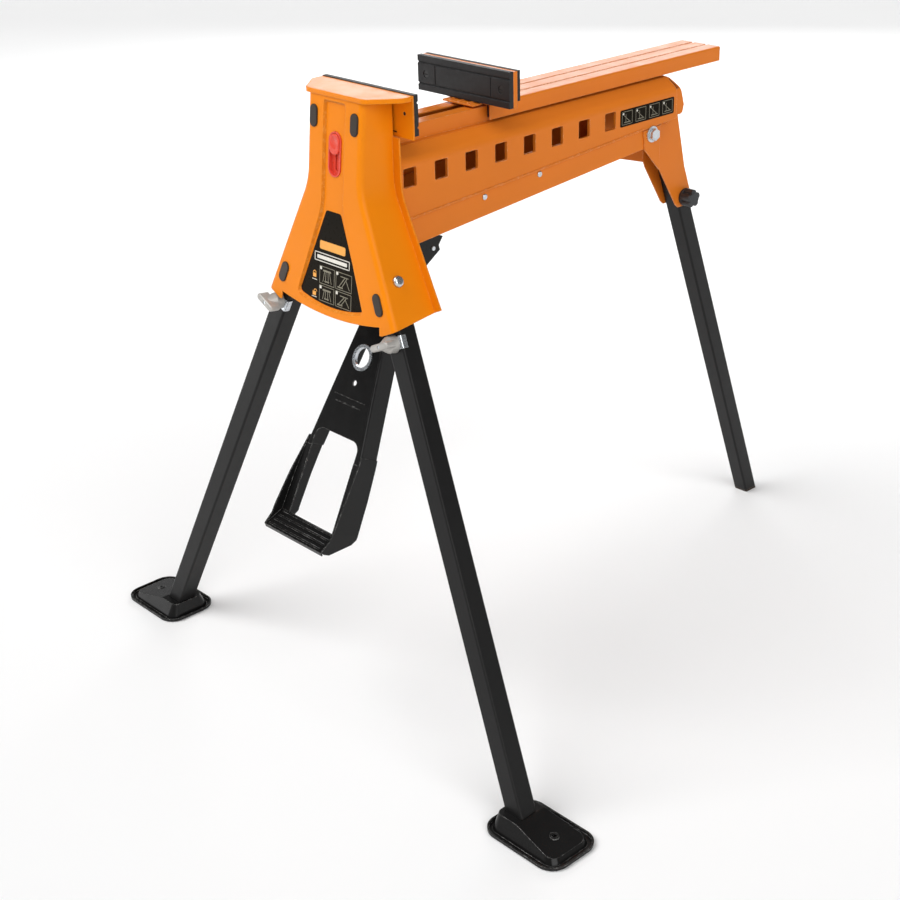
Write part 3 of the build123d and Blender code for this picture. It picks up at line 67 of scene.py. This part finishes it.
def node(tree, kind, inputs=None, **settings):
    made = tree.nodes.new(kind)
    for key, value in settings.items():
        setattr(made, key, value)
    for key, value in (inputs or {}).items():
        socket = made.inputs[key]
        if isinstance(value, bpy.types.NodeSocket):
            tree.links.new(value, socket)
        else:
            socket.default_value = value
    return made


def noise(tree, where, scale, detail=3.0, roughness=0.55):
    return node(tree, "ShaderNodeTexNoise",
                {"Vector": where, "Scale": scale, "Detail": detail, "Roughness": roughness}
                ).outputs["Fac"]


def spread(tree, value, low, high, to_low, to_high):
    return node(tree, "ShaderNodeMapRange",
                {"Value": value, "From Min": low, "From Max": high,
                 "To Min": to_low, "To Max": to_high}, clamp=True).outputs["Result"]


def mix(tree, factor, first, second):
    made = node(tree, "ShaderNodeMix", data_type="RGBA")
    for key, value in (("Factor", factor), ("A", first), ("B", second)):
        socket = next(s for s in made.inputs if s.name == key and s.enabled)
        if isinstance(value, bpy.types.NodeSocket):
            tree.links.new(value, socket)
        else:
            socket.default_value = value
    return next(s for s in made.outputs if s.enabled)


def shade(colour, factor):
    return (colour[0] * factor, colour[1] * factor, colour[2] * factor, 1.0)


def finish(name, colour, rough, metallic=0.0, tone=0.06, patch=9.0, rough_spread=0.06,
           grain=900.0, grain_depth=0.05, specular=0.5, edge_wear_and_highlight=None, edge_wear_and_highlight_amount=0.0,
           edge_radius=1.0, streak=None, streak_amount=0.0, subsurface=0.0):
    """One finish: broad tone changes, fine grain, roughness patches and lighter edges, which are partly wear and
    partly a painted highlight along edges and bends.
    'patch' and 'grain' are noise scales per metre, 'grain_depth' and the edge radius are in mm."""
    material = bpy.data.materials.new(name)
    material.use_nodes = True
    tree = material.node_tree
    shader = tree.nodes["Principled BSDF"]
    where = node(tree, "ShaderNodeTexCoord").outputs["Object"]
    broad = noise(tree, where, patch, 4.0)
    base = mix(tree, spread(tree, broad, noise_low, noise_high, 0.0, 1.0),
               shade(colour, 1 - tone), shade(colour, 1 + tone))
    medium = noise(tree, where, patch * 9, 5.0, 0.65)
    roughness = spread(tree, medium, noise_low, noise_high,
                       rough - rough_spread, rough + rough_spread)
    if streak:
        scaled = node(tree, "ShaderNodeMapping", {"Vector": where, "Scale": streak}).outputs["Vector"]
        lines = noise(tree, scaled, 1.0, 4.0, 0.7)
        mask = spread(tree, lines, streak_low, streak_high, 0.0, streak_amount)
        base = mix(tree, mask, base, shade(colour, streak_tone))
        roughness = node(tree, "ShaderNodeMath", {0: roughness, 1: mask}, operation="ADD").outputs[0]
    soft = node(tree, "ShaderNodeBevel", {"Radius": edge_radius * mm}, samples=4).outputs["Normal"]
    # edges are mixed towards a lighter colour: partly worn paint, partly a painted highlight along edges and bends
    # where glossy paint would catch the light
    if edge_wear_and_highlight:
        flat = node(tree, "ShaderNodeNewGeometry").outputs["Normal"]
        match = node(tree, "ShaderNodeVectorMath", {0: soft, 1: flat},
                     operation="DOT_PRODUCT").outputs["Value"]
        edge = spread(tree, match, edge_starts, edge_full, 0.0, 1.0)
        edge_breakup = noise(tree, where, breakup_scale, 6.0, 0.7)
        gate = spread(tree, edge_breakup, breakup_low, breakup_high, breakup_least, edge_wear_and_highlight_amount)
        edge = node(tree, "ShaderNodeMath", {0: edge, 1: gate}, operation="MULTIPLY").outputs[0]
        base = mix(tree, edge, base, (*edge_wear_and_highlight, 1.0))
    tree.links.new(base, shader.inputs["Base Color"])
    tree.links.new(roughness, shader.inputs["Roughness"])
    fine = noise(tree, where, grain, 2.0)
    bump = node(tree, "ShaderNodeBump",
                {"Height": fine, "Strength": 0.6, "Distance": grain_depth * mm, "Normal": soft}
                ).outputs["Normal"]
    tree.links.new(bump, shader.inputs["Normal"])
    shader.inputs["Metallic"].default_value = metallic
    shader.inputs["Specular IOR Level"].default_value = specular
    if subsurface:
        shader.inputs["Subsurface Weight"].default_value = subsurface
        shader.inputs["Subsurface Radius"].default_value = (2 * mm, 0.5 * mm, 0.3 * mm)
        shader.inputs["Subsurface Scale"].default_value = 1.0
    return material


head_orange = finish("head_orange", (0.78, 0.218, 0.003), 0.34, tone=0.03, patch=5.0,
                     grain=520.0, grain_depth=0.02, specular=0.12, edge_wear_and_highlight=(0.98, 0.50, 0.12),
                     edge_wear_and_highlight_amount=0.6, edge_radius=1.6)
# beam paint: its lighter edges are partly wear and partly a painted highlight along the sheet's edges and bends
beam_orange = finish("beam_orange", (0.66, 0.172, 0.014), 0.38, tone=0.05, patch=4.0,
                     grain=520.0, grain_depth=0.02, specular=0.16, edge_wear_and_highlight=(0.86, 0.50, 0.26),
                     edge_wear_and_highlight_amount=0.95, edge_radius=1.5)
tube_black = finish("tube_black", (0.0095, 0.0092, 0.0092), 0.34, tone=0.2, patch=7.0,
                    rough_spread=0.06, grain=1100.0, grain_depth=0.02, specular=0.17,
                    edge_wear_and_highlight=(0.10, 0.098, 0.094), edge_wear_and_highlight_amount=0.5, edge_radius=1.6,
                    streak=(260.0, 260.0, 9.0), streak_amount=0.1)
# black paint: its light grey edges are mostly a painted highlight along the pedal's bends and edges
gloss_black = finish("gloss_black", (0.0075, 0.0073, 0.0072), 0.2, tone=0.2, patch=8.0,
                     rough_spread=0.05, grain=300.0, grain_depth=0.012, specular=0.22,
                     edge_wear_and_highlight=(0.34, 0.335, 0.32), edge_wear_and_highlight_amount=0.95, edge_radius=1.3)
pad_rubber = finish("pad_rubber", (0.015, 0.0145, 0.015), 0.55, tone=0.16, patch=16.0,
                    grain=1500.0, grain_depth=0.12, specular=0.3, edge_wear_and_highlight=(0.075, 0.075, 0.078),
                    edge_wear_and_highlight_amount=0.8, edge_radius=0.8)
plug_rubber = finish("plug_rubber", (0.026, 0.016, 0.010), 0.36, tone=0.12, patch=30.0,
                     grain=1600.0, grain_depth=0.03, specular=0.3, edge_wear_and_highlight=(0.15, 0.12, 0.10),
                     edge_wear_and_highlight_amount=0.7, edge_radius=0.8)
knob_black = finish("knob_black", (0.024, 0.025, 0.027), 0.48, tone=0.14, patch=30.0,
                    grain=1400.0, grain_depth=0.12, specular=0.4, edge_wear_and_highlight=(0.12, 0.12, 0.125),
                    edge_wear_and_highlight_amount=0.8, edge_radius=0.9)
switch_red = finish("switch_red", (0.70, 0.060, 0.032), 0.3, tone=0.06, patch=25.0,
                    grain=1500.0, grain_depth=0.05, specular=0.35, edge_wear_and_highlight=(0.85, 0.20, 0.14),
                    edge_wear_and_highlight_amount=0.7, edge_radius=0.7, subsurface=0.12)
zinc = finish("zinc", (0.60, 0.63, 0.66), 0.26, metallic=1.0, tone=0.12, patch=60.0,
              rough_spread=0.06, grain=1200.0, grain_depth=0.005, edge_wear_and_highlight=(0.80, 0.81, 0.83),
              edge_wear_and_highlight_amount=0.3, edge_radius=0.5)
screw_black = finish("screw_black", (0.020, 0.0195, 0.019), 0.34, tone=0.2, patch=80.0,
                     grain=1600.0, grain_depth=0.01, specular=0.25, edge_wear_and_highlight=(0.10, 0.098, 0.095),
                     edge_wear_and_highlight_amount=0.7, edge_radius=0.4)
bar_steel = finish("bar_steel", (0.42, 0.41, 0.40), 0.38, metallic=1.0, tone=0.15, patch=30.0,
                   rough_spread=0.12, grain=900.0, grain_depth=0.05,
                   streak=(500.0, 14.0, 500.0), streak_amount=0.3)
cast_grey = finish("cast_grey", (0.40, 0.385, 0.36), 0.4, metallic=0.25, tone=0.14, patch=70.0,
                   rough_spread=0.1, grain=700.0, grain_depth=0.06, edge_wear_and_highlight=(0.66, 0.65, 0.63),
                   edge_wear_and_highlight_amount=0.9, edge_radius=0.9)
decal_black = finish("decal_black", (0.0070, 0.0048, 0.0018), 0.3, tone=0.12, patch=20.0,
                     grain=300.0, grain_depth=0.012, specular=0.04)
print_white = finish("print_white", (0.74, 0.71, 0.64), 0.35, tone=0.06, patch=90.0,
                     grain=900.0, grain_depth=0.01, specular=0.2)
print_orange = finish("print_orange", (0.82, 0.37, 0.07), 0.35, tone=0.06, patch=90.0,
                      grain=900.0, grain_depth=0.01, specular=0.2)
print_grey = finish("print_grey", (0.24, 0.22, 0.16), 0.35, tone=0.1, patch=90.0,
                    grain=900.0, grain_depth=0.01, specular=0.2)

by_node = {
    head_orange: ("head_shell", "head_deck", "fixed_jaw_plate"),
    beam_orange: ("beam_shell", "beam_pan", "beam_end_cap", "sliding_arm", "moving_jaw_plate",
                  "rear_bracket", "rear_pivot_pin"),
    gloss_black: ("pedal_plate", "pedal_stirrup", "pedal_tread_ribs", "pedal_cheeks",
                  "pedal_bracket", "foot_pad_right", "foot_pad_left", "pedal_lever"),
    tube_black: ("leg_tube_right", "leg_tube_left", "rear_leg_tube"),
    pad_rubber: ("fixed_jaw_pad", "moving_jaw_pad", "rear_jaw_pad"),
    plug_rubber: ("head_plugs", "rear_leg_cap"),
    knob_black: ("rear_knob",),
    switch_red: ("switch_bezel", "switch_thumb", "switch_latch"),
}
by_slot = {
    "orange_paint": beam_orange, "black_paint": gloss_black, "pad_rubber": pad_rubber,
    "red_plastic": switch_red, "black_plastic": knob_black, "zinc_steel": zinc,
    "bar_steel": bar_steel, "cast_alloy": cast_grey, "black_steel": screw_black,
}
slot_of = {part["node"]: part["material_slot"] for part in frame["record"]["subparts"]}
chosen = {name: material for material, names in by_node.items() for name in names}
for name, item in nodes.items():
    material = chosen.get(name) or by_slot[slot_of[name]]
    if not item.material_slots:
        item.data.materials.append(None)
    for place in item.material_slots:
        place.material = material


# ---------------------------------------------------------------- making pieces
def add(name, mesh, material, body):
    made = bpy.data.objects.new(name, mesh)
    bpy.context.scene.collection.objects.link(made)
    mesh.materials.append(material)
    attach(made, body)
    return made


def rounded(points, radius, steps=6):
    """The closed outline with its corners rounded, as a list of 2-D points."""
    outline = []
    count = len(points)
    for i, corner in enumerate(points):
        corner = Vector(corner)
        back = (Vector(points[i - 1]) - corner).normalized()
        ahead = (Vector(points[(i + 1) % count]) - corner).normalized()
        half = back.angle(ahead) / 2
        if half > radians(89):
            outline.append(corner)
            continue
        reach = radius / tan(half)
        centre = corner + (back + ahead).normalized() * (radius / sin(half))
        start = corner + back * reach - centre
        end = corner + ahead * reach - centre
        turn = start.angle_signed(end)
        for k in range(steps + 1):
            outline.append(centre + Matrix.Rotation(-turn * k / steps, 2) @ start)
    return outline


def slab(outlines, place, thick, lift=0.0):
    """Thin plates: each closed 2-D outline in mm is raised from 'lift' by 'thick' mm.
    place(x, y, out) gives the point in the frame, in metres."""
    mesh = bpy.data.meshes.new("plate")
    shape = bmesh.new()
    for outline in outlines:
        low = [shape.verts.new(place(p[0], p[1], lift)) for p in outline]
        high = [shape.verts.new(place(p[0], p[1], lift + thick)) for p in outline]
        shape.faces.new(high)
        shape.faces.new(list(reversed(low)))
        for i in range(len(low)):
            j = (i + 1) % len(low)
            shape.faces.new((low[i], low[j], high[j], high[i]))
    bmesh.ops.recalc_face_normals(shape, faces=shape.faces)
    shape.to_mesh(mesh)
    shape.free()
    return mesh


def stroke(a, b, width):
    """Outline of a straight line with the given width."""
    a, b = Vector(a), Vector(b)
    along = (b - a).normalized() * width / 2
    side = Vector((-along.y, along.x))
    return [a - along + side, a - along - side, b + along - side, b + along + side]


def rectangle(x, y, width, height):
    """Corners of a rectangle whose lower left corner is (x, y)."""
    return [(x, y), (x + width, y), (x + width, y + height), (x, y + height)]


def box_frame(x, y, width, height, line):
    """The four strokes of a rectangle whose lower left corner is (x, y)."""
    corners = rectangle(x, y, width, height)
    return [stroke(corners[i], corners[(i + 1) % 4], line) for i in range(4)]


def disc(centre, radius, count=20, start=0.0, turn=2 * pi):
    """Outline of a circle, or of a piece of one closed by its chord."""
    steps = count if turn < 2 * pi else count - 1
    return [(centre[0] + radius * cos(start + turn * i / count),
             centre[1] + radius * sin(start + turn * i / count)) for i in range(steps + 1)]


def arc(centre, radius, width, start, turn, count=12):
    """Outline of a bent strip, such as a padlock's shackle."""
    outer = disc(centre, radius + width / 2, count, start, turn)
    inner = disc(centre, radius - width / 2, count, start, turn)
    return outer + list(reversed(inner))


def on_face(x, y, out):
    """A point on the pressed-in panel, measured in mm from the face's top middle."""
    return face_origin + (face_right * x + face_up * y + face_out * (out - panel_depth)) * mm


# ---------------------------------------------------------------- label on the head's panel
film = 0.22                       # thickness of a label, mm
film_gap = 0.02                   # a label's back stands this far off the paint, mm
ink = 0.10                        # thickness of what is printed on it, mm
label_corner = 5.0
label_top, label_bottom, label_sag = -153.0, -270.5, 9.5
top_half, bottom_half = 14.5, 65.0
corner_points = [(top_half, label_top), (bottom_half, label_bottom)]
sag_steps = 12
for i in range(1, sag_steps):
    across = bottom_half * (1 - 2 * i / sag_steps)
    corner_points.append((across, label_bottom - label_sag * (1 - (across / bottom_half) ** 2)))
corner_points += [(-bottom_half, label_bottom), (-top_half, label_top)]
add("head_label", slab([rounded(corner_points, label_corner)], on_face, film, film_gap),
    decal_black, "frame")


def padlock(y, opened):
    """A padlock's body with its top at y, and its shackle moved aside by 'opened'."""
    body = rounded(rectangle(-39, y - 5.5, 7, 5.5), 1.0)
    return [body, arc((-35.5 + opened, y + 0.4), 2.7, 1.2, 0.0, pi)]


name_bar = rounded(rectangle(-26, -206, 52, 11.5), 2.5)
lock_prints = padlock(-241.0, 0.0) + padlock(-266.0, 2.2)
add("label_orange_print", slab([name_bar] + lock_prints, on_face, ink, film), print_orange,
    "frame")

white_prints = box_frame(-35.5, -222.5, 70, 11, 1.3)
white_prints.append(rounded(rectangle(-31, -219.5, 61, 5), 1.2))
columns = ((-25.0, 30.0), (8.5, 31.5))
rows = ((-252.0, 23.0), (-275.5, 20.5))
grey_prints = []
for x, width in columns:
    for y, height in rows:
        white_prints.append(rounded(rectangle(x + 0.4, y + height - 4.4, 4, 4), 0.6))
        grey_prints += box_frame(x, y, width, height, 0.9)
for y in (-249.5, -273.2):
    white_prints.append(stroke((-40.0, y), (-31.0, y), 1.1))


def picture_front(top, foot):
    """A plain line picture of a stand seen from the front."""
    return [stroke((-17, top), (-3, top), 2.4),
            stroke((-15, top - 1), (-18, foot), 1.1),
            stroke((-5, top - 1), (-1, foot), 1.1),
            stroke((-12, top - 1), (-13, foot), 1.1),
            stroke((-8, top - 1), (-7, foot), 1.1),
            stroke((-14, foot + 1), (-6, foot + 1), 1.6)]


def picture_side(top, foot):
    """A plain line picture of a stand seen from the side."""
    return [stroke((18, top), (33, top), 1.2),
            stroke((31, top), (20, foot), 1.1),
            stroke((26, top - 1), (15, foot + 1), 1.1),
            stroke((29, top - 4), (36, foot), 1.1),
            stroke((13, foot), (22, foot), 1.8)]


for y, height in rows:
    grey_prints += picture_front(y + height - 5.0, y + 3.0)
    grey_prints += picture_side(y + height - 5.0, y + 3.0)
add("label_white_print", slab(white_prints, on_face, ink, film), print_white, "frame")
add("label_grey_print", slab(grey_prints, on_face, ink, film), print_grey, "frame")

# ---------------------------------------------------------------- the beam's sides
beam_half = 57.5                  # half the beam's width, mm
beam_label_y = (415.0, 534.5)
beam_label_drop = (102.0, 126.5)
shell_edge_front = 169.6          # the upper shell's lower edge, below the jaws' top at clamp_y
shell_edge_rise = 0.0631          # how much that edge rises per mm towards the rear
hem_height, hem_thick = 2.4, 1.0
hem_ends = (-8.0, 466.0)
sunk = 0.05                       # a strip's back lies this far inside what it sits on, mm


def on_side(sign):
    """Where a point in mm, behind clamp_y and above the jaws' top, lies on a side of the beam."""
    def place(along, height, out):
        return Vector((sign * (beam_half + out) * mm, clamp_y + along * mm, jaw_top + height * mm))
    return place


for sign, side in ((1, "right"), (-1, "left")):
    beam_side = on_side(sign)

    # a thin strip along the upper shell's lower edge
    front, rear = hem_ends
    low_front, low_rear = [-(shell_edge_front - shell_edge_rise * along) for along in hem_ends]
    hem = [(front, low_front), (rear, low_rear), (rear, low_rear + hem_height),
           (front, low_front + hem_height)]
    add(f"beam_hem_{side}", slab([hem], beam_side, hem_thick, -sunk), beam_orange, "frame")

    y0, y1 = beam_label_y
    z0, z1 = -beam_label_drop[1], -beam_label_drop[0]
    ground = rounded(rectangle(y0, z0, y1 - y0, z1 - z0), 2.5)
    add(f"beam_label_{side}", slab([ground], beam_side, film, film_gap), decal_black, "frame")
    pitch = (y1 - y0) / 4
    prints = []
    marks = []
    for i in range(4):
        left = y0 + pitch * i + 4.0
        prints += box_frame(left, z0 + 3.0, pitch - 8.0, z1 - z0 - 6.0, 0.8)
        prints += [stroke((left + 4, z1 - 8), (left + pitch - 13, z0 + 6), 0.9),
                   stroke((left + 5, z0 + 6), (left + pitch - 12, z0 + 6), 1.2),
                   stroke((left + 8, z1 - 7), (left + 8, z0 + 7), 0.9)]
        marks.append(disc((left + 2.6, z1 - 5.8), 1.6))
    add(f"beam_label_lines_{side}", slab(prints, beam_side, ink, film), print_grey, "frame")
    add(f"beam_label_marks_{side}", slab(marks, beam_side, ink, film), print_white, "frame")

# ---------------------------------------------------------------- pressed lines on the pedal plate
pedal_lean = radians(27.0)
pedal_ahead, pedal_drop = 19.7, 330.0   # a point on the plate, from clamp_y and the jaws' top, mm
line_down = 106.0                 # the lower line, down the plate from that point, mm
line_apart = 9.0
line_height = 0.5
pedal_spot = Vector((0, clamp_y - pedal_ahead * mm, jaw_top - pedal_drop * mm))
pedal_down = Vector((0, -sin(pedal_lean), -cos(pedal_lean)))
pedal_out = Vector((0, -cos(pedal_lean), sin(pedal_lean)))


def on_pedal(x, y, out):
    return pedal_spot + (face_right * x - pedal_down * y + pedal_out * out) * mm


ridge = [rounded(stroke((-25, -line_down), (25, -line_down), 1.8), 0.6),
         rounded(stroke((-31, line_apart - line_down), (31, line_apart - line_down), 1.4), 0.5)]
add("pedal_pressed_lines", slab(ridge, on_pedal, line_height, -sunk), gloss_black, "pedal")

# ---------------------------------------------------------------- stud ends in the wing screws
stud_radius, stud_height, stud_sunk = 2.1, 1.1, 0.4
dimple_depth = 1.5


def wing_stud(side):
    """The screw's end, seen in the dimple of its wing."""
    turn = next(j for j in frame["joints"] if j["name"] == f"wing_{side}_turn")
    axis = Vector(turn["axis"]).normalized()
    seat = Vector(turn["pos_m"])
    tip = max((vertex.co - seat).dot(axis) for vertex in nodes[f"wing_screw_{side}"].data.vertices)
    across = axis.cross(Vector((0, 0, 1))).normalized()
    upright = across.cross(axis)

    def on_stud(x, y, out):
        return seat + axis * (tip + (out - dimple_depth) * mm) + (across * x + upright * y) * mm

    mesh = slab([disc((0, 0), stud_radius, 24)], on_stud, stud_height, -stud_sunk)
    add(f"wing_stud_{side}", mesh, zinc, f"wing_{side}")


for side in ("right", "left"):
    wing_stud(side)


# ---------------------------------------------------------------- lights, floor and camera
def area_light(name, place, target, size, power, colour=(1, 1, 1)):
    light = bpy.data.lights.new(name, "AREA")
    light.shape = "RECTANGLE"
    light.size, light.size_y = size
    light.energy = power
    light.color = colour
    made = bpy.data.objects.new(name, light)
    bpy.context.scene.collection.objects.link(made)
    made.location = place
    made.rotation_euler = (Vector(target) - Vector(place)).to_track_quat("-Z", "Y").to_euler()
    return made


def sun(name, toward, strength, spread_deg):
    """A far soft light. 'toward' points from the stand to the light."""
    light = bpy.data.lights.new(name, "SUN")
    light.energy = strength
    light.angle = radians(spread_deg)
    made = bpy.data.objects.new(name, light)
    bpy.context.scene.collection.objects.link(made)
    made.rotation_euler = Vector(toward).to_track_quat("Z", "Y").to_euler()
    return made


middle = Vector((0, 0, 0.55))
sun("key_sun", (-0.35, -0.75, 0.95), 2.2, 45)
sun("fill_sun", (0.9, -0.3, 0.6), 1.7, 50)
area_light("back_glow", (-2.6, 3.3, 1.9), middle, (3.4, 1.5), 70)
area_light("low_left", (-2.0, -1.5, 0.3), (-0.35, -0.4, 0.3), (1.0, 0.6), 3)

# the studio's walls are pale near the floor and dim higher up
walls_low, walls_high = 0.02, 0.24
strength_low, strength_high = 0.75, 0.14
world = bpy.data.worlds.new("studio")
world.use_nodes = True
sky = world.node_tree
toward = node(sky, "ShaderNodeTexCoord").outputs["Generated"]
rise = node(sky, "ShaderNodeSeparateXYZ", {"Vector": toward}).outputs["Z"]
sky.links.new(spread(sky, rise, walls_low, walls_high, strength_low, strength_high),
              sky.nodes["Background"].inputs["Strength"])
sky.nodes["Background"].inputs["Color"].default_value = (1.0, 1.0, 1.0, 1.0)
bpy.context.scene.world = world
bpy.context.scene.view_settings.view_transform = "Standard"

floor_half = 30.0                 # m
floor_mesh = bpy.data.meshes.new("floor")
floor_mesh.from_pydata([(-floor_half, -floor_half, 0), (floor_half, -floor_half, 0),
                        (floor_half, floor_half, 0), (-floor_half, floor_half, 0)],
                       [], [(0, 1, 2, 3)])
floor = bpy.data.objects.new("floor", floor_mesh)
floor_mesh.materials.append(finish("floor_pale", (0.92, 0.92, 0.92), 0.8, tone=0.01, patch=0.6,
                                   grain=200.0, grain_depth=0.01, specular=0.1))
bpy.context.scene.collection.objects.link(floor)

# the camera that was fitted to the photo
azimuth, elevation, roll = 0.8317092, 0.4460540, -0.0289795
camera_place = (1.556741, clamp_y - 1.300973, 1.335072)
camera_data = bpy.data.cameras.new("camera")
camera_data.lens = 63.63
camera_data.sensor_width = 36.0
camera = bpy.data.objects.new("camera", camera_data)
bpy.context.scene.collection.objects.link(camera)
ahead = Vector((-sin(azimuth) * cos(elevation), cos(azimuth) * cos(elevation), -sin(elevation)))
right = Vector((cos(azimuth), sin(azimuth), 0))
upward = right.cross(ahead)
camera_x = right * cos(roll) + upward * sin(roll)
camera_y = upward * cos(roll) - right * sin(roll)
camera.matrix_world = Matrix.Translation(camera_place) @ Matrix(
    (camera_x, camera_y, -ahead)).transposed().to_4x4()
bpy.context.scene.camera = camera
